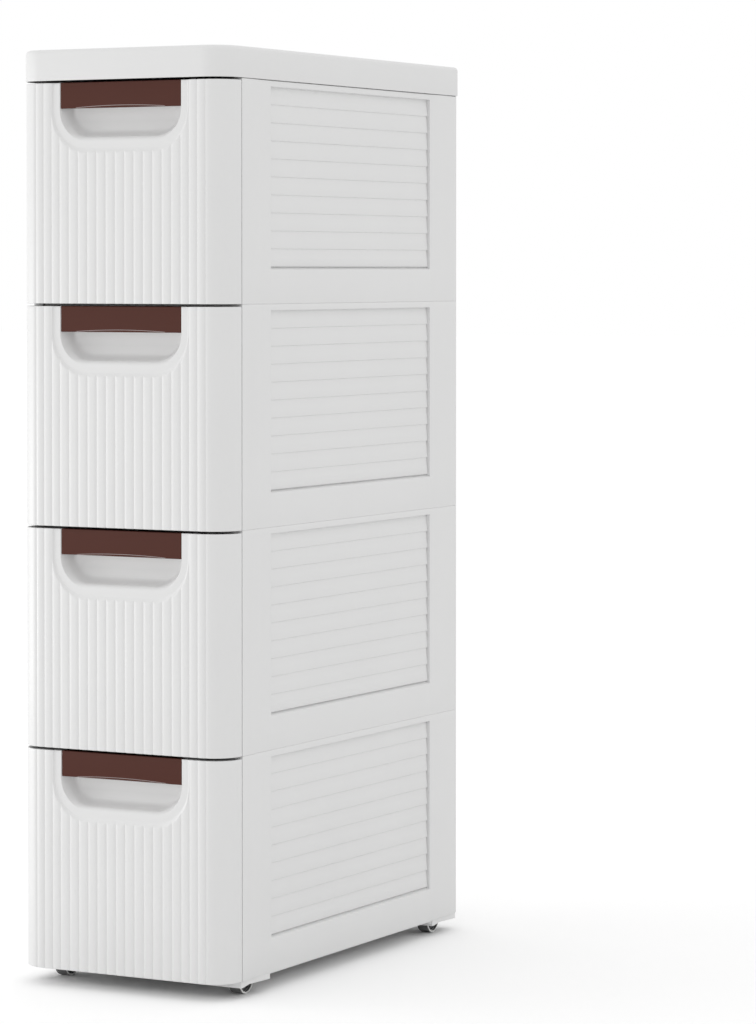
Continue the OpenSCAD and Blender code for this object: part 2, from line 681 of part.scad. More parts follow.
module roller_wheel(c) {
    half = roller_w / 2;
    rim_in = roller_r - 1.9;
    hub = 5;
    sink = 2.4;
    color(ROLLER_GREY) at_corner(c) rotate([0, 90, 0]) difference() {
        rotate_extrude($fn = 64) polygon([
            [axle_r + axle_fit, -half], [hub, -half], [hub, -half + sink], [rim_in, -half + sink],
            [rim_in, -half + 0.3], [rim_in + 0.3, -half], [roller_r - 0.8, -half], [roller_r - 0.2, -half + 0.3],
            [roller_r, -half + 1], [roller_r, half - 1], [roller_r - 0.2, half - 0.3], [roller_r - 0.8, half],
            [rim_in + 0.3, half], [rim_in, half - 0.3], [rim_in, half - sink], [hub, half - sink],
            [hub, half], [axle_r + axle_fit, half]]);
        // lightening holes through the web
        for (a = [0 : 60 : 300]) rotate([0, 0, a + 30])
            translate([(hub + rim_in) / 2, 0, -half]) cylinder(r = 1.5, h = roller_w);
    }
}

module roller_axle(c) {
    color(PIN_STEEL) at_corner(c) along_x(axle_r, 2 * housing_x - 0.6);
}

// ---- assembly ----

top_cover();
base_tray();
for (k = TIERS) {
    for (s = SIDES)
        side_panel(k, s);
    back_panel(k);
    if (k < 4) divider(k);
    drawer_box(k);
    drawer_front(k);
    handle_grip(k);
}
for (c = CORNERS) {
    roller_housing(c);
    roller_wheel(c);
    roller_axle(c);
}
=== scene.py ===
import math

import bmesh
import bpy
import numpy as np
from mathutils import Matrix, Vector
from mathutils.geometry import delaunay_2d_cdt


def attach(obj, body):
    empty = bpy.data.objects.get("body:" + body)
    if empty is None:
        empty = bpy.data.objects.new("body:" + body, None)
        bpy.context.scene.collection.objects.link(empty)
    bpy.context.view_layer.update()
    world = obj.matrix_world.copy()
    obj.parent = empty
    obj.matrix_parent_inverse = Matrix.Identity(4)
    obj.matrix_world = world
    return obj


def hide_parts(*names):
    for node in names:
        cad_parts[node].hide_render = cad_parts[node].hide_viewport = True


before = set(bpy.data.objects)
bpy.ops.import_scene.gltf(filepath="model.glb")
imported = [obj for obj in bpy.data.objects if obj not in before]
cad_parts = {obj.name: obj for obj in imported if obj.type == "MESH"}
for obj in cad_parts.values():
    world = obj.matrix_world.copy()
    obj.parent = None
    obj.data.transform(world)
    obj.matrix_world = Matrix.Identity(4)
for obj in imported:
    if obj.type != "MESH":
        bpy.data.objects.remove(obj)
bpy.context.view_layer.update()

# ---- sizes of the tower, in millimetres ----

MM = 0.001
BODY_W = 220.0
FACE_Y = -224.0
BACK_Y = 224.0
TIER_H = 200.0
FRAME_Z = 16.0
COVER_Z = 816.0
COVER_TOP = 844.0
COVER_LIP = 0.5                     # how far the cover stands out all round
FRONT_R = 25.5
REAR_R = 8.5
POST_CROWN = 0.8
FLAT_X = BODY_W / 2 - POST_CROWN
SKIN_X = FLAT_X - 2.2               # inner face of the side panels' outer wall
TURN_IN = 2.3                       # width of the level band at a tier's ends and under the cover
RETURN_X = 105.0                    # where the panels' front and rear walls turn inwards
INNER_X = 100.0                     # inner face of the panels
FRAME_Y = -195.3                    # front of the frame, behind the drawer fronts' shells
POST_W = 34.0
REAR_POST_W = 53.0
FIELD_Y = (-142.9, 162.3)
FIELD_Z = (31.0, 194.2)
SLATS = 10
GROOVE_H = 2.2
SLAT_DEEP = 3.9
SLAT_SHALLOW = 1.7                  # the lowest slat's lower edge; the other slats' lie SLAT_LIP deeper
SLAT_LIP = 0.3
SLAT_STEP = 1.0                     # from one slat's lower edge back to the next one's top
LAST_STEP = 2.2                     # from the lowest slat's lower edge back to the groove
FLOOR_DEEP = 5.2                    # shadow groove under the lowest slat
JAMB_DEEP = 5.7                     # and in the narrow joint behind the slats' rear ends
JOINT = 1.9
RIM_R = 0.3                         # rounding of the field's rim, and where its rows of points lie
RIM_ROWS = (-0.3, -0.18, -0.09, -0.03)
PANEL_EDGE = 0.55                   # rounding of a tier's lower and upper edges
COVER_SLOT = 0.45                   # shadow gap under the cover
SEAM = 0.7                          # widening of the seam between front and post
SEAM_EDGE = 0.3                     # rounding of the post's edge there

FRONT_H = 198.2
SHELL_Y = FACE_Y + 28.0
CORNER_X = BODY_W / 2 - FRONT_R
REED_DEEP = 0.9
REED_FORM = 3.2                     # the higher, the narrower the grooves between the reeds
SCOOP_HALF = 63.5
REED_PITCH = 2 * SCOOP_HALF / 13
SIDE_PITCH = (89.1 - SCOOP_HALF) / 3
GROOVES = np.array([-SCOOP_HALF + i * REED_PITCH for i in range(14)]
                   + [s * (SCOOP_HALF + i * SIDE_PITCH) for i in (1, 2, 3) for s in (-1, 1)])
SCOOP_H = 52.0
SCOOP_R = 28.0
SCOOP_CX = SCOOP_HALF - SCOOP_R     # centre of the scoop's lower right corner
SCOOP_CZ = FRONT_H - SCOOP_H + SCOOP_R
SCOOP_D = 17.5
RECESS = 2.0                        # how far the smooth band round the scoop lies back
STEP_FROM, STEP_TO = 6.6, 9.0       # slope from the band up to the reeds, as distances from the scoop
STEP_MORE = 3.0                     # how much longer the slope is under the scoop
ZONE_H = 66.0                       # height of the field round the scoop
BOWL_LOW, BOWL_IN = 150.0, 0.4      # the bowl's material with its painted glow starts above this height and this far inside its outline
BACK_RIM = 2.4                      # wall round a front's open back, and how far its inner side is drawn
BACK_LIP = 5.0
FRONT_EDGE = 0.6                    # rounding of a front's lower and upper edges
GAP_TRIM = 0.25                     # taken off a front's lower and upper edge, for the gap's dark line
GRIP_H = 23.3
GRIP_Y = FACE_Y + 2.4
GRIP_PLAY = 0.45                    # beside the grip, at either end

ROLLER_Y = (FRAME_Y + 26.5, BACK_Y - 34.0)      # the front and the rear rollers' axes
ROLLER_R = 12.0
TYRE_R = 9.9                        # inner radius of the rollers' pale ring


def tier_z(k):
    return FRAME_Z + (4 - k) * TIER_H


# ---- meshes ----

def rounding(r, steps=4):
    """Heights above an edge and how far the surface is pulled in there, for an edge of radius r."""
    a = np.linspace(0, math.pi / 2, steps + 1)
    return r * (1 - np.cos(a)), r * (1 - np.sin(a))


def sheet_faces(rows, cols, flip):
    """Quads of a grid whose points run column by column within each row."""
    r, c = np.meshgrid(np.arange(rows - 1), np.arange(cols - 1), indexing="ij")
    a = r * cols + c
    quads = np.stack([a, a + 1, a + cols + 1, a + cols], axis=-1).reshape(-1, 4)
    return (quads[:, ::-1] if flip else quads).tolist()


class Build:
    """Gathers points and faces of one piece, in millimetres."""

    def __init__(self):
        self.points, self.faces, self.count = [], [], 0

    def add(self, points, faces):
        points = np.asarray(points, float).reshape(-1, 3)
        self.points.append(points)
        self.faces += [[i + self.count for i in f] for f in faces]
        self.count += len(points)

    def grid(self, points, flip=False):
        """points has the shape rows, columns, 3."""
        self.add(points, sheet_faces(*points.shape[:2], flip))

    def strip(self, one, two, flip=False):
        self.grid(np.stack([one, two]), flip)

    def mesh(self, name, sharp, merge=0.004 * MM):
        """The piece's mesh in metres; edges sharper than the angle stay sharp."""
        mesh = bpy.data.meshes.new(name)
        mesh.from_pydata((np.concatenate(self.points) * MM).tolist(), [], self.faces)
        bm = bmesh.new()
        bm.from_mesh(mesh)
        bmesh.ops.remove_doubles(bm, verts=bm.verts, dist=merge)
        bmesh.ops.dissolve_degenerate(bm, edges=bm.edges, dist=merge * 0.5)
        bm.to_mesh(mesh)
        bm.free()
        mesh.shade_smooth()
        mesh.set_sharp_from_angle(angle=math.radians(sharp))
        return mesh


def place(mesh, name, body, node, z=0.0):
    """Puts a piece in the scene in place of a CAD node."""
    obj = bpy.data.objects.new(name, mesh)
    bpy.context.scene.collection.objects.link(obj)
    obj.location.z = z * MM
    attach(obj, body)
    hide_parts(node)
    return obj


def paint(mesh, materials, pick=None):
    """Gives a mesh its materials; pick tells a face's place in them from its corners, in millimetres."""
    for material in materials:
        mesh.materials.append(material)
    if pick:
        for face in mesh.polygons:
            face.material_index = pick([mesh.vertices[v].co / MM for v in face.vertices])
    return mesh


def node_mesh(node):
    """Points in millimetres and triangles of a CAD node."""
    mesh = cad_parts[node].data
    pts = np.empty(len(mesh.vertices) * 3)
    mesh.vertices.foreach_get("co", pts)
    return pts.reshape(-1, 3) / MM, [list(p.vertices) for p in mesh.polygons]


def draw_in(co, cx, cy, sx, sy, beyond, to):
    """Draws in a corner's outer points: those further than beyond from its centre go to the distance to."""
    dx, dy = co[:, 0] - cx, co[:, 1] - cy
    away = np.maximum(np.hypot(dx, dy), 1e-6)
    far = (dx * sx > 0) & (dy * sy > 0) & (away > beyond)
    k = np.where(far, to / away, 1)
    co[:, 0] = np.where(far, cx + dx * k, co[:, 0])
    co[:, 1] = np.where(far, cy + dy * k, co[:, 1])


def plan_ring(half_w, y0, y1, r0, r1, inset, steps=14):
    """Plan outline, front left corner first and counter-clockwise, pulled in by inset."""
    out = []
    corners = [(-half_w + r0, y0 + r0, r0, 180), (half_w - r0, y0 + r0, r0, 270),
               (half_w - r1, y1 - r1, r1, 0), (-half_w + r1, y1 - r1, r1, 90)]
    for cx, cy, r, a0 in corners:
        for a in np.linspace(math.radians(a0), math.radians(a0 + 90), steps + 1):
            out.append((cx + (r - inset) * math.cos(a), cy + (r - inset) * math.sin(a)))
    return np.array(out)


# ---- materials ----

class Sock:
    """A socket that takes part in arithmetic; every step adds the node it needs."""

    def __init__(self, shade, socket):
        self.shade, self.socket = shade, socket

    def _step(self, operation, a, b):
        return self.shade.node("ShaderNodeMath", {"operation": operation}, {0: a, 1: b})[0]

    def __add__(self, o): return self._step("ADD", self, o)
    def __radd__(self, o): return self._step("ADD", o, self)
    def __sub__(self, o): return self._step("SUBTRACT", self, o)
    def __rsub__(self, o): return self._step("SUBTRACT", o, self)
    def __mul__(self, o): return self._step("MULTIPLY", self, o)
    def __rmul__(self, o): return self._step("MULTIPLY", o, self)
    def __abs__(self): return self.shade.node("ShaderNodeMath", {"operation": "ABSOLUTE"}, {0: self})[0]


class Shade:
    """Builds one material's or the world's nodes."""

    def __init__(self, owner):
        owner.use_nodes = True
        self.tree = owner.node_tree
        self.tree.nodes.clear()

    def node(self, kind, settings=None, values=None):
        """Adds a node, makes its settings, then fills its sockets; gives back its outputs."""
        made = self.tree.nodes.new(kind)
        for key, value in (settings or {}).items():
            setattr(made, key, value)
        for key, value in (values or {}).items():
            socket = made.inputs[key]
            if isinstance(value, Sock):
                self.tree.links.new(value.socket, socket)
            else:
                socket.default_value = value
        return [Sock(self, s) for s in made.outputs]

    def out(self, surface, kind="ShaderNodeOutputMaterial"):
        self.node(kind, {}, {"Surface": surface})

    def noise(self, scale, detail=2.0, roughness=0.5, stretch=(1, 1, 1)):
        where = self.node("ShaderNodeMapping", {}, {"Vector": self.node("ShaderNodeTexCoord")[3],
                                                    "Scale": stretch})[0]
        return self.node("ShaderNodeTexNoise", {}, {"Vector": where, "Scale": scale, "Detail": detail,
                                                    "Roughness": roughness})[0]

    def position(self):
        """The three coordinates in the object's own frame, in metres."""
        return self.node("ShaderNodeSeparateXYZ", {}, {"Vector": self.node("ShaderNodeTexCoord")[3]})

    def facing(self):
        """The three parts of the surface's direction."""
        return self.node("ShaderNodeSeparateXYZ", {}, {"Vector": self.node("ShaderNodeNewGeometry")[1]})

    def between(self, value, low, high):
        """0 at low and 1 at high, held level beyond them."""
        return self.node("ShaderNodeMapRange", {}, {"Value": value, "From Min": low, "From Max": high})[0]

    def grain(self, height, strength, distance):
        return self.node("ShaderNodeBump", {}, {"Strength": strength, "Distance": distance,
                                                "Height": height})[0]

    def blend(self, amount, a, b):
        return self.node("ShaderNodeMix", {"data_type": "RGBA"}, {0: amount, 6: a, 7: b})[2]


def rgb(r, g, b):
    return (r, g, b, 1.0)


def moulded(name, pale, deep, rough, grain=0.02, spread=0.06, specular=0.5, glow=None):
    """Injection-moulded plastic: cloudy tone, fine spark-eroded grain and faint flow marks.

    glow gives the heights between which surfaces that face the front get a painted glow: painted light that
    brightens the shade in the bowl under the grip.
    """
    mat = bpy.data.materials.new(name)
    sh = Shade(mat)
    cloud = sh.noise(9.0, 3.0, 0.55)
    fine = sh.noise(1400.0)
    flow = sh.noise(26.0, 2.0, 0.4, (1, 1, 0.16))
    values = {"Base Color": sh.blend(cloud * 0.7 + flow * 0.3, pale, deep),
              "Roughness": rough - spread / 2 + spread * (fine * 0.4 + flow * 0.6),
              "Specular IOR Level": specular, "Normal": sh.grain(fine, grain, 0.0004)}
    if glow:
        up = sh.between(sh.position()[2], glow[0] * MM, glow[1] * MM)
        painted_glow_mask = up * sh.between(sh.facing()[1], -0.55, -0.95)
        values["Emission Color"] = sh.blend(painted_glow_mask, rgb(0, 0, 0), rgb(1, 1, 1))
        values["Emission Strength"] = 0.17
    sh.out(sh.node("ShaderNodeBsdfPrincipled", {}, values)[0])
    return mat


def roller_plastic(name):
    """Pale ring round a hub darkened with painted shade, told apart by the distance from the roller's axis,
    and a tread darkened with painted shade.
    """
    mat = bpy.data.materials.new(name)
    sh = Shade(mat)
    where = sh.position()
    middle, reach = (ROLLER_Y[1] + ROLLER_Y[0]) / 2 * MM, (ROLLER_Y[1] - ROLLER_Y[0]) / 2 * MM
    off, rise = abs(where[1] - middle) - reach, where[2] - ROLLER_R * MM
    away = sh.node("ShaderNodeMath", {"operation": "SQRT"}, {0: off * off + rise * rise})[0]
    tyre = sh.between(away, (TYRE_R - 0.1) * MM, (TYRE_R + 0.1) * MM)
    # painted shade: the tread and the hub inside the pale ring are darkened
    tread = sh.between(abs(sh.facing()[0]), 0.8, 0.6)
    ring = sh.blend(tread, rgb(0.86, 0.86, 0.85), rgb(0.15, 0.15, 0.15))
    fine = sh.noise(1100.0)
    sh.out(sh.node("ShaderNodeBsdfPrincipled", {}, {
        "Base Color": sh.blend(tyre, rgb(0.06, 0.06, 0.065), ring),
        "Roughness": 0.34 + fine * 0.1, "Normal": sh.grain(fine, 0.03, 0.0003)})[0])
    return mat


def drawn_steel(name):
    """Drawn wire: streaks along the pin."""
    mat = bpy.data.materials.new(name)
    sh = Shade(mat)
    streak = sh.noise(900.0, 2.0, 0.6, (0.05, 1, 1))
    sh.out(sh.node("ShaderNodeBsdfPrincipled", {}, {
        "Base Color": sh.blend(streak, rgb(0.62, 0.62, 0.63), rgb(0.45, 0.45, 0.47)), "Metallic": 1.0,
        "Roughness": 0.25 + streak * 0.2, "Normal": sh.grain(streak, 0.08, 0.0002)})[0])
    return mat


WHITE = rgb(0.835, 0.835, 0.832), rgb(0.80, 0.80, 0.798), 0.44
SHELL = moulded("satin white shell", *WHITE)
# painted light: the bowl's upper, front-facing part glows to brighten the shade under the grip
BOWL = moulded("white bowl with painted glow", *WHITE, glow=(163.0, 175.5))
# painted shade: a near-black lower wall on each front darkens the gap between the fronts
GAP_PAINTED_SHADE = moulded("painted gap shade", rgb(0.03, 0.03, 0.03), rgb(0.02, 0.02, 0.02), 0.7)
# painted shade: a slightly darker tone deepens the shade in the joint behind the slats' rear ends
JOINT_PAINTED_SHADE = moulded("painted joint shade", rgb(0.80, 0.80, 0.80), rgb(0.76, 0.76, 0.76), 0.6)
# painted highlight: a pale line along the chamfer under the grip's face
GRIP_PAINTED_HIGHLIGHT = moulded("painted grip highlight", rgb(0.44, 0.38, 0.37), rgb(0.40, 0.34, 0.33), 0.45, 0.05, 0.1, 0.2)
GRIP = moulded("brown grip", rgb(0.090, 0.028, 0.019), rgb(0.080, 0.025, 0.017), 0.5, 0.05, 0.1, 0.2)
ROLLER = roller_plastic("roller with painted shade on hub and tread")
HOUSING = moulded("dark housing", rgb(0.075, 0.075, 0.08), rgb(0.055, 0.055, 0.06), 0.5, grain=0.05)
PIN = drawn_steel("drawn steel pin")


# ---- drawer fronts ----

def reed(x):
    """Depth of the grooves between reeds at a distance x along the front from its middle."""
    s = np.abs(np.asarray(x, float)[..., None] - GROOVES).min(axis=-1)
    return REED_DEEP * (1 - np.clip(2 * s / REED_PITCH, 0, 1)) ** REED_FORM


def scoop_gap(x, z):
    """Distance outside the scoop's U outline, negative inside it."""
    x, z = np.abs(np.asarray(x, float)), np.asarray(z, float)
    corner = np.hypot(x - SCOOP_CX, z - SCOOP_CZ) - SCOOP_R
    below = np.where(x <= SCOOP_CX, SCOOP_CZ - SCOOP_R - z, corner)
    return np.where(z >= SCOOP_CZ, x - SCOOP_HALF, below)


# sections of the bowl as (depth, distance inside the U): tight rim at the legs, round rim below
LEG = np.array([(2.0, -0.35), (2.01, -0.26), (2.05, -0.17), (2.13, -0.08), (2.35, 0.0), (4.0, 0.55),
                (7.0, 1.7), (10.0, 2.95), (13.0, 4.3), (15.0, 5.4), (16.3, 6.5), (17.1, 7.9), (17.4, 9.3),
                (17.5, 10.8)])
SILL = np.array([(2.0, -1.4), (2.03, -0.9), (2.2, -0.05), (2.53, 0.8), (3.05, 1.65), (3.75, 2.4), (4.7, 3.0),
                 (5.8, 3.35), (7.2, 3.65), (9.5, 4.15), (12.0, 4.85), (14.2, 5.8), (16.0, 7.2), (17.1, 9.0),
                 (17.5, 11.0)])


def sill_share(x, z):
    """0 at the legs of the U and 1 along its bottom."""
    t = np.arctan2(np.maximum(SCOOP_CZ - z, 0), np.maximum(np.abs(x) - SCOOP_CX, 1e-9)) / (math.pi / 2)
    return t * t * (3 - 2 * t)


def front_depth(x, z):
    """How far the front's surface lies behind its foremost plane."""
    gap, share = scoop_gap(x, z), sill_share(x, z)
    leg, sill = (np.interp(-gap, form[:, 1], form[:, 0]) for form in (LEG, SILL))
    bowl = np.where(gap < 5, leg + (sill - leg) * share, 0)
    wide = STEP_TO - STEP_FROM + STEP_MORE * share
    t = np.clip((gap - STEP_FROM) / wide, 0, 1)
    step = RECESS * (0.5 + 0.5 * np.cos(math.pi * t))
    # the grooves set in a little way up the slope and deepen over half its width
    fade = np.clip((gap - STEP_FROM - 0.8) / (wide / 2), 0, 1)
    return np.maximum(bowl, np.maximum(step, fade * reed(x)))


def edge_pull(z, r, height):
    """Pull-in of the rounded lower and upper edges."""
    z = np.asarray(z, float)
    t = np.clip(np.minimum(z, height - z), 0, r)
    return r - np.sqrt(np.maximum(r * r - (r - t) ** 2, 0))


def reed_columns(lo, hi):
    """Columns of points between two places along the front, closest together at the grooves."""
    one = np.array([0, 0.1, 0.28, 0.6, 1.05, 1.7, 2.6, 3.7])
    cols = np.concatenate([[lo, hi]] + [np.concatenate([v - one, v + one]) for v in GROOVES])
    cols = np.unique(np.round(cols, 4))
    return cols[(cols >= lo - 1e-3) & (cols <= hi + 1e-3)]


def scoop_ring(gap, rows, fine):
    """Points of the U outline moved outwards by gap, from its left leg to its right leg."""
    half, r = SCOOP_HALF + gap, SCOOP_R + gap
    leg = sorted({z for z in rows if z > SCOOP_CZ + 0.5} | {SCOOP_CZ}, reverse=True)
    left = [(-half, z) for z in leg]
    a = np.linspace(math.pi, 1.5 * math.pi, (90 if fine else 26) + 1)[1:]
    arc = [(-SCOOP_CX + r * math.cos(t), SCOOP_CZ + r * math.sin(t)) for t in a]
    across = reed_columns(-SCOOP_CX, SCOOP_CX)
    across = across[np.abs(across) < SCOOP_CX - 0.3][::1 if fine else 4]
    line = [(x, SCOOP_CZ - r) for x in across]
    right = [(-x, z) for x, z in reversed(left + arc)]
    return left + arc + line + right


def front_mesh():
    """Fluted front: reeds, the band and bowl of the scoop, round corners and an open back."""
    build = Build()
    edge_z, _ = rounding(FRONT_EDGE)
    low = FRONT_H - ZONE_H
    upper = np.concatenate([np.arange(low, FRONT_H - 4, 5.5), [FRONT_H - 3.2]])
    rows = np.concatenate([edge_z, [low * 0.5], upper, FRONT_H - edge_z[::-1]])
    rows = np.unique(np.round(rows, 4))
    zone = round(SCOOP_HALF + 1.5 * SIDE_PITCH, 4)      # half width of the field round the scoop

    # corners and returns: plan points with their normals, closest together at the grooves
    arc_len = np.array([0, 1.2, 2.2, 3.1, 3.75, 4.15, 4.42, 4.57, 4.7, 4.85, 5.1, 5.5, 6.2, 7.2, 8.6, 10.5,
                        13, 16, 19, 22, 25, 28, 31, 34, 37, FRONT_R * math.pi / 2])
    side = {}
    for s in (-1, 1):
        plan, norm, dip = [], [], []
        for t in arc_len:
            a = t / FRONT_R
            n = np.array([s * math.sin(a), -math.cos(a)])
            plan.append(np.array([s * CORNER_X, FACE_Y + FRONT_R]) + FRONT_R * n)
            norm.append(n)
            dip.append(float(reed(CORNER_X + t)))
        # the return's rear edge is rounded off
        for y, d in ((-0.4, 0), (-0.3, 0.01), (-0.15, 0.05), (-0.05, 0.13), (0, 0.3)):
            plan.append(np.array([s * BODY_W / 2, SHELL_Y + y]))
            norm.append(np.array([s, 0.0]))
            dip.append(d)
        plan, norm, dip = np.array(plan), np.array(norm), np.array(dip)
        pts = np.empty((len(rows), len(plan), 3))
        for i, z in enumerate(rows):
            xy = plan - norm * (dip + edge_pull(z, FRONT_EDGE, FRONT_H))[:, None]
            pts[i, :, :2], pts[i, :, 2] = xy, z
        side[s] = pts
        build.grid(pts, flip=s < 0)

    def surface(x, z):
        """Points of the front's face; its edge rounding ends where the bowl opens upwards."""
        gap = scoop_gap(x, z)
        pull = edge_pull(z, FRONT_EDGE, FRONT_H) * np.clip(gap / 0.9, 0, 1)
        return np.stack([x, FACE_Y + front_depth(x, z) + pull, z], axis=-1)

    # plain reeded fields beside and below the scoop
    for lo, hi, zs in ((-CORNER_X, -zone, rows), (zone, CORNER_X, rows),
                       (-zone, zone, rows[rows <= low + 1e-3])):
        cols = reed_columns(lo, hi)
        x, z = np.meshgrid(cols, zs)
        build.grid(surface(x, z))

    # field round the scoop, triangulated between its rings
    zs = rows[rows >= low - 1e-3]
    cols = reed_columns(-zone, zone)
    pts, edges = [], []

    def line(chain):
        first = len(pts)
        pts.extend(chain)
        edges.extend((first + i, first + i + 1) for i in range(len(chain) - 1))

    clear = STEP_TO + STEP_MORE + 0.2
    for x in cols:
        chain = []
        for z in zs:
            if scoop_gap(x, z) > clear:
                chain.append((float(x), float(z)))
            elif chain:
                line(chain)
                chain = []
        if chain:
            line(chain)
    gaps = [12.0, 11.4, 10.8, 10.2, 9.6, 9.05, 8.7, 8.35, 8.0, 7.65, 7.3, 6.95, 6.6, 6.3, 3.5]
    gaps += sorted(-g for g in np.concatenate([LEG[:, 1], SILL[:, 1]]))[::-1]
    inside = [FRONT_H - v for v in (0, 8, 16, 23)]
    for gap in gaps:
        line(scoop_ring(gap, zs if gap > -0.1 else inside, gap > 6.5))
    found, _, tris, _, _, _ = delaunay_2d_cdt([Vector(p) for p in pts], edges, [], 0, 1e-5)
    flat = np.array([tuple(p) for p in found])
    build.add(surface(flat[:, 0], flat[:, 1]), [list(t) for t in tris])

    # upper and lower walls, from the edge of the surface to the back edge
    on_top = np.sort(flat[flat[:, 1] > FRONT_H - 1e-4][:, 0])
    for z, xs in ((FRONT_H, on_top), (0.0, reed_columns(-zone, zone))):
        mid = surface(xs, np.full(len(xs), z))
        out = reed_columns(zone, CORNER_X)
        wing = surface(out, np.full(len(out), z))
        left_wing = wing[::-1] * (-1, 1, 1)
        row = -1 if z else 0
        run = np.concatenate([side[-1][row][::-1], left_wing, mid, wing, side[1][row]])
        floor = run.copy()
        floor[:, 1] = SHELL_Y
        build.strip(run, floor, flip=z == 0)

    # rim round the open back
    outer = np.concatenate([side[-1][:, -1], side[1][::-1, -1]])
    outer = np.concatenate([outer, outer[:1]])
    inner = outer.copy()
    inner[:, 0] = np.clip(inner[:, 0], -BODY_W / 2 + BACK_RIM, BODY_W / 2 - BACK_RIM)
    inner[:, 2] = np.clip(inner[:, 2], BACK_RIM, FRONT_H - BACK_RIM)
    deep = inner.copy()
    deep[:, 1] -= BACK_LIP
    build.strip(outer, inner)
    build.strip(inner, deep)
    mesh = build.mesh("drawer front", sharp=38)
    for v in mesh.vertices:
        v.co.z = GAP_TRIM * MM + v.co.z * (1 - 2 * GAP_TRIM / FRONT_H)

    def pick(spots):                                    # the bowl with its painted glow, the underside with painted shade, and the rest
        if all(p.y > FACE_Y + RECESS and p.z > BOWL_LOW and scoop_gap(p.x, p.z) < -BOWL_IN for p in spots):
            return 1
        return 2 if all(p.z < GAP_TRIM + 0.05 for p in spots) else 0

    return paint(mesh, (SHELL, BOWL, GAP_PAINTED_SHADE), pick)


# ---- grip bars ----

def grip_mesh():
    """Bar lofted along X: a face, a flat top and a lower lip that is deepest at the middle."""
    build = Build()
    half = SCOOP_HALF - GRIP_PLAY
    top, low, arch = FRONT_H, FRONT_H - GRIP_H, 49.0    # arch: half length of the arched lower edge
    y0, back, r = GRIP_Y, FACE_Y + SCOOP_D - 0.2, 0.5   # r: rounding of the bar's ends
    sections = []
    ends = np.array([0, 0.08, 0.25, 0.5])
    xs = np.concatenate([-half + ends, np.linspace(-half + 1, half - 1, 41), half - ends[::-1]])
    for x in xs:
        lip = 3.7 if abs(x) < half - 1.7 else 3.0       # the lower lip is thinner at the bar's ends
        end = max(0.0, r - (half - abs(x)))
        inset = r - math.sqrt(max(r * r - end * end, 0))
        rise = max(0.0, 1.75 * (1 - (x / arch) ** 2))
        p = np.array([
            (y0, top - 1.0), (y0, low + rise + 0.55), (y0 + 0.1, low + rise + 0.1),
            (y0 + 0.35 + 0.25 * rise, low + 0.04 + 0.3 * rise), (y0 + 0.8 + 0.5 * rise, low),
            (y0 + 2.2, low), (y0 + lip - 0.5, low), (y0 + lip - 0.12, low + 0.2), (y0 + lip, low + 0.6),
            (y0 + lip - 0.4, low + 2.0), (y0 + 3.3, low + 2.6), (y0 + 3.0, low + 3.2), (y0 + 3.0, top - 3.4),
            (y0 + 3.9, top - 2.5), (back - 0.4, top - 2.4), (back, top - 1.9), (back, top - 0.5),
            (back - 0.4, top - 0.1), (y0 + 0.9, top - 0.1), (y0 + 0.35, top - 0.24), (y0 + 0.07, top - 0.55)])
        mid = np.array([y0 + 1.5, (top + low) / 2])
        p += np.sign(mid - p) * np.minimum(inset, np.abs(mid - p))
        sections.append(np.column_stack([np.full(len(p) + 1, x), np.vstack([p, p[:1]])]))
    build.grid(np.array(sections))
    around = list(range(len(sections[0]) - 1))
    build.add(sections[0][:-1], [around])
    build.add(sections[-1][:-1], [around[::-1]])

    def pick(spots):                                    # the chamfer under the face gets the painted highlight
        return int(len(spots) == 4 and all(p.y < y0 + 0.105 and abs(p.x) < arch and p.z < low + 2.5
                                           for p in spots))

    return paint(build.mesh("grip bar", sharp=50), (GRIP, GRIP_PAINTED_HIGHLIGHT), pick)


# ---- side panels ----

def slat_rows():
    """Heights and depths of the louvre field, from its lower to its upper wall."""
    slat_h = (FIELD_Z[1] - FIELD_Z[0] - GROOVE_H) / SLATS
    rows = [(FIELD_Z[0], FLOOR_DEEP), (FIELD_Z[0] + GROOVE_H - 0.02, FLOOR_DEEP)]
    for i in reversed(range(SLATS)):
        z = FIELD_Z[1] - (i + 1) * slat_h
        last = i == SLATS - 1
        edge = SLAT_SHALLOW if last else SLAT_SHALLOW + SLAT_LIP
        step = LAST_STEP if last else SLAT_STEP
        top = SLAT_DEEP if i == 0 else SLAT_SHALLOW + SLAT_LIP + SLAT_STEP
        rows += [(z + up, edge + step * share)
                 for up, share in ((0, 0.75), (0.06, 0.42), (0.2, 0.2), (0.45, 0.07), (0.8, 0))]
        rows += [(z + slat_h * 0.5, (edge + top) / 2 - 0.05), (z + slat_h - 0.02, top)]
    return np.array(rows)


def rim_cap(v, lo, hi):
    """Depth allowed near the walls of a recess between lo and hi, with rounded rims."""
    v = np.asarray(v, float)
    t = np.minimum(v - lo, hi - v)
    round_part = RIM_R - np.sqrt(np.maximum(RIM_R * RIM_R - np.clip(t + RIM_R, 0, RIM_R) ** 2, 0))
    return np.where(t > 1e-6, 99.0, round_part)


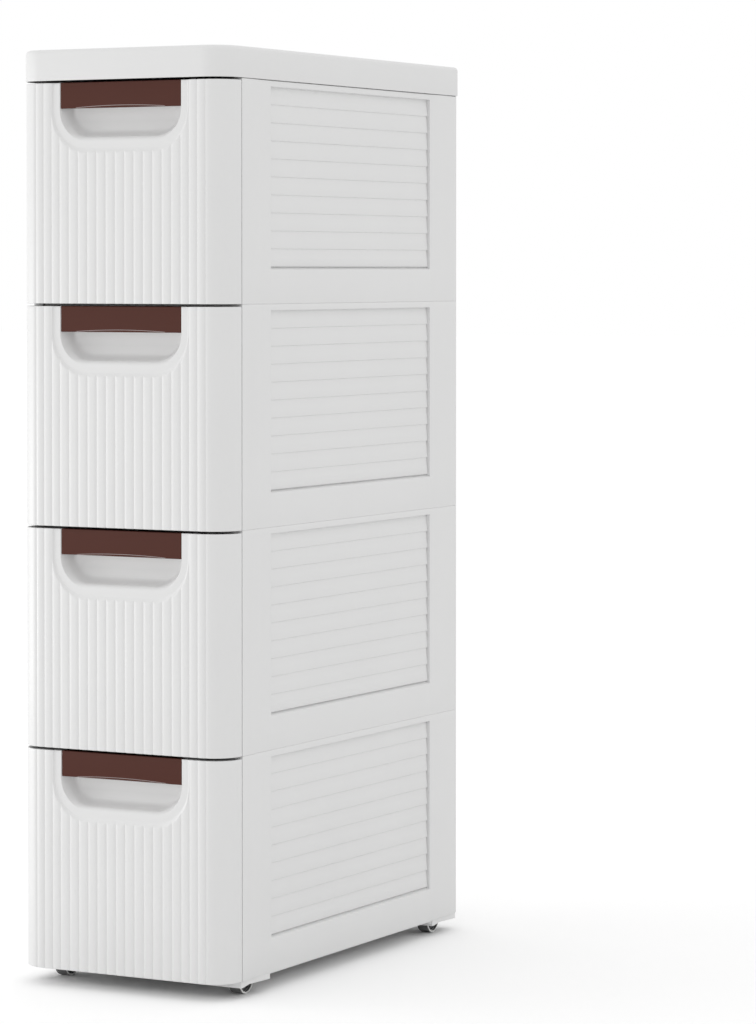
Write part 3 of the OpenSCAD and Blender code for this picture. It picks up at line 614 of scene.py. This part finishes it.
def skin_section():
    """Plan points and outward normals of a right-hand panel's outer skin, front to rear."""
    first, r = FRAME_Y + SEAM, SEAM_EDGE
    pts, nrm = [(INNER_X, first), (RETURN_X, first)], [(0, -1), (0, -1)]
    for a in np.linspace(0, 90, 5):
        c, s = math.cos(math.radians(a)), math.sin(math.radians(a))
        pts.append((BODY_W / 2 - r + r * s, first + r - r * c))
        nrm.append((s, -c))

    def crown(y0, y1, full=0.0):
        """Bulge of a post; full is the share of it that stands level before it falls away."""
        for t in np.linspace(0, 1, 15):
            w = max(t, 0.5) if t < full else t
            slope = POST_CROWN * 4 * (1 - 2 * w) / (y1 - y0)
            pts.append((FLAT_X + POST_CROWN * 4 * w * (1 - w), y0 + (y1 - y0) * t))
            nrm.append(tuple(np.array([1.0, -slope]) / math.hypot(1, slope)))

    crown(first + r, FRAME_Y + POST_W, 0.5)
    y0, y1 = FIELD_Y
    rear_post = BACK_Y - REAR_R - REAR_POST_W
    rim = [*RIM_ROWS, 0.0, 0.03]
    run = [y0 + (y1 - y0) * t for t in (0.25, 0.5, 0.75)] + [y1 - v for v in (JOINT, JOINT - 0.05, 0.05)]
    for y in [y0 + v for v in rim] + run + [y1 - v for v in rim[::-1]]:
        if y < rear_post:
            pts.append((FLAT_X, y))
            nrm.append((1, 0))
    crown(rear_post, BACK_Y - REAR_R)
    for a in np.linspace(0, 90, 9):
        c, s = math.cos(math.radians(a)), math.sin(math.radians(a))
        pts.append((FLAT_X - REAR_R + REAR_R * c, BACK_Y - REAR_R + REAR_R * s))
        nrm.append((c, s))
    pts.append((INNER_X, BACK_Y))
    nrm.append((0, 1))
    return np.array(pts), np.array(nrm)


def panel_mesh(node, k, s):
    """One tier's side panel; s is 1 for the right-hand one and -1 for its mirror image."""
    build = Build()
    base = tier_z(k)
    plan, norm = skin_section()
    edge_z, _ = rounding(PANEL_EDGE, 3)
    height = TIER_H - (COVER_SLOT if k == 1 else 0.0)
    slats = slat_rows()
    rim = np.array(RIM_ROWS)
    joint = (plan[:, 1] > FIELD_Y[1] - JOINT + 0.02) & (plan[:, 1] < FIELD_Y[1] - 0.04)
    zs = np.concatenate([edge_z, FIELD_Z[0] + rim, slats[:, 0], FIELD_Z[1] - rim[::-1], [FIELD_Z[1]],
                         height - edge_z[::-1]])
    zs = np.unique(np.round(zs, 4))
    zs = np.concatenate([[0.0], zs, [height]])
    pts = np.empty((len(zs), len(plan), 3))
    for i, z in enumerate(zs):
        pull = edge_pull(z, PANEL_EDGE, height) + (TURN_IN if i in (0, len(zs) - 1) else 0)
        slat = np.interp(z, slats[:, 0], slats[:, 1])
        field = np.minimum(np.where(joint, JAMB_DEEP, slat), rim_cap(z, *FIELD_Z))
        depth = np.minimum(field, rim_cap(plan[:, 1], *FIELD_Y))
        xy = plan - norm * (pull + depth)[:, None]
        pts[i, :, :2], pts[i, :, 2] = xy, z + base
    build.grid(pts * (s, 1, 1), flip=s < 0)

    # the channel's inner side: the CAD faces, with the outer ones drawn in under the new skin
    co, faces = node_mesh(node)
    co = co * (s, 1, 1)
    draw_in(co, FLAT_X - REAR_R, BACK_Y - REAR_R, 1, 1, REAR_R - 1.9, REAR_R - 0.6)
    co[:, 0] = np.where(co[:, 0] > SKIN_X + 0.05, SKIN_X, co[:, 0])
    co[:, 0] = np.where(co[:, 0] > RETURN_X + 0.2, co[:, 0] - 0.5, co[:, 0])
    co[:, 1] = np.clip(co[:, 1], FRAME_Y + 1.1, BACK_Y - 0.4)
    build.add(co * (s, 1, 1), faces)

    def pick(spots):                                    # the joint behind the slats, with painted shade, and the rest
        return int(all(FIELD_Y[1] - JOINT - 0.02 < p.y < FIELD_Y[1] + 0.01
                       and FIELD_Z[0] - 0.01 < p.z - base < FIELD_Z[1] + 0.01
                       and abs(p.x) > FLAT_X - JAMB_DEEP - 0.1 for p in spots))

    return paint(build.mesh(node + " skin", sharp=34), (SHELL, JOINT_PAINTED_SHADE), pick)


# ---- top cover ----

def cover_mesh():
    """Top cover: upright walls, a rounded top edge and a level top."""
    build = Build()
    half, y0, y1 = BODY_W / 2 + COVER_LIP, FACE_Y - COVER_LIP, BACK_Y + COVER_LIP
    front_r, rear_r = FRONT_R + COVER_LIP, REAR_R + COVER_LIP
    skin, corner_skin, top_r = 1.2, 1.4, 4.0
    up, pull = rounding(0.7, 3)
    a = np.linspace(0, math.pi / 2, 10)
    levels = [(COVER_Z, TURN_IN)] + [(COVER_Z + u, p) for u, p in zip(up, pull)]
    levels += [(COVER_TOP - top_r + top_r * math.sin(t), top_r * (1 - math.cos(t))) for t in a]
    rings = []
    for z, inset in levels:
        ring = plan_ring(half, y0, y1, front_r, rear_r, inset)
        rings.append(np.column_stack([np.vstack([ring, ring[:1]]), np.full(len(ring) + 1, z)]))
    rings = np.array(rings)
    build.grid(rings)
    last = rings[-1][:-1]
    build.add(last, [list(range(len(last)))])

    # the cover's inner side: the CAD faces, with the outer ones drawn in under the new skin
    co, faces = node_mesh("top_cover")
    for sx in (-1, 1):
        for yc, sy, r in ((y0 + front_r, -1, front_r), (y1 - rear_r, 1, rear_r)):
            draw_in(co, sx * (half - r), yc, sx, sy, r - corner_skin, r - corner_skin)
    co[:, 0] = np.clip(co[:, 0], -half + skin, half - skin)
    co[:, 1] = np.clip(co[:, 1], y0 + skin, y1 - skin)
    co[:, 2] = np.where(co[:, 2] > COVER_TOP - 2.5, COVER_TOP - 1.8, co[:, 2])
    build.add(co, faces)
    return paint(build.mesh("cover shell", sharp=40), (SHELL,))


# ---- pieces ----

FRONT_MESH, GRIP_MESH = front_mesh(), grip_mesh()
for k in (1, 2, 3, 4):
    body, z = "drawer_%d" % k, tier_z(k)
    front = place(FRONT_MESH, "fluted_front_%d" % k, body, "drawer_front_%d" % k, z)
    if k == 4:                                          # the lowest one stands over the floor, not over a gap, so its underside gets no painted shade
        front.material_slots[2].link = "OBJECT"
        front.material_slots[2].material = SHELL
    place(GRIP_MESH, "grip_bar_%d" % k, body, "handle_grip_%d" % k, z)
    for side, s in (("left", -1), ("right", 1)):
        node = "side_panel_%s_%d" % (side, k)
        place(panel_mesh(node, k, s), "louvred_side_%s_%d" % (side, k), "tower_frame", node)
place(cover_mesh(), "cover_shell", "tower_frame", "top_cover")

FINISHES = {"handle_grip": GRIP, "roller_wheel": ROLLER, "roller_housing": HOUSING, "roller_axle": PIN}
for name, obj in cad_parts.items():
    chosen = [finish for start, finish in FINISHES.items() if name.startswith(start)] or [SHELL]
    for slot in obj.material_slots:
        slot.material = chosen[0]

# ---- floor, light and camera ----

FAR = 30.0                          # half width of the floor, in metres
floor_mesh = bpy.data.meshes.new("floor")
floor_mesh.from_pydata([(-FAR, -FAR, 0), (FAR, -FAR, 0), (FAR, FAR, 0), (-FAR, FAR, 0)], [], [(0, 1, 2, 3)])
floor = bpy.data.objects.new("floor", floor_mesh)
bpy.context.scene.collection.objects.link(floor)
floor_mat = bpy.data.materials.new("pale floor")
sh = Shade(floor_mat)
to_camera = sh.node("ShaderNodeLightPath")[0]
soft = sh.node("ShaderNodeBsdfDiffuse", {}, {"Color": rgb(0.85, 0.85, 0.85)})[0]
seen = sh.node("ShaderNodeBsdfDiffuse", {}, {"Color": rgb(1.12, 1.12, 1.12)})[0]
sh.out(sh.node("ShaderNodeMixShader", {}, {0: to_camera, 1: soft, 2: seen})[0])
floor_mesh.materials.append(floor_mat)

world = bpy.data.worlds.new("studio")
bpy.context.scene.world = world
sh = Shade(world)
to_camera = sh.node("ShaderNodeLightPath")[0]
lit = sh.node("ShaderNodeBackground", {}, {"Color": rgb(1, 1, 1), "Strength": 0.905})[0]
white = sh.node("ShaderNodeBackground", {}, {"Color": rgb(1, 1, 1), "Strength": 1.0})[0]
sh.out(sh.node("ShaderNodeMixShader", {}, {0: to_camera, 1: lit, 2: white})[0], "ShaderNodeOutputWorld")


def softbox(name, at, aim, size, watts):
    """Rectangular lamp at a place in metres, turned towards a point."""
    lamp = bpy.data.lights.new(name, "AREA")
    lamp.shape, lamp.size, lamp.size_y = "RECTANGLE", size[0], size[1]
    lamp.energy = watts
    obj = bpy.data.objects.new(name, lamp)
    obj.location = at
    obj.rotation_euler = (Vector(aim) - Vector(at)).to_track_quat("-Z", "Y").to_euler()
    bpy.context.scene.collection.objects.link(obj)


softbox("low key", (-1.5, -0.5, 0.25), (0, -0.1, 0.4), (0.8, 0.5), 4.7)
softbox("front key", (-2.6, -1.8, 0.4), (0, -0.1, 0.45), (1.2, 1.2), 8.6)

eye = bpy.data.cameras.new("eye")
eye.lens, eye.sensor_width, eye.shift_y = 133.44, 36.0, -0.15
eye.clip_start, eye.clip_end = 0.1, 100.0
camera = bpy.data.objects.new("eye", eye)
camera.location = (1.81317, -3.07949, 0.64709)
camera.rotation_euler = (math.radians(90 - 1.3467), 0, math.radians(28.5109))
bpy.context.scene.collection.objects.link(camera)
bpy.context.scene.camera = camera
bpy.context.scene.view_settings.view_transform = "Standard"
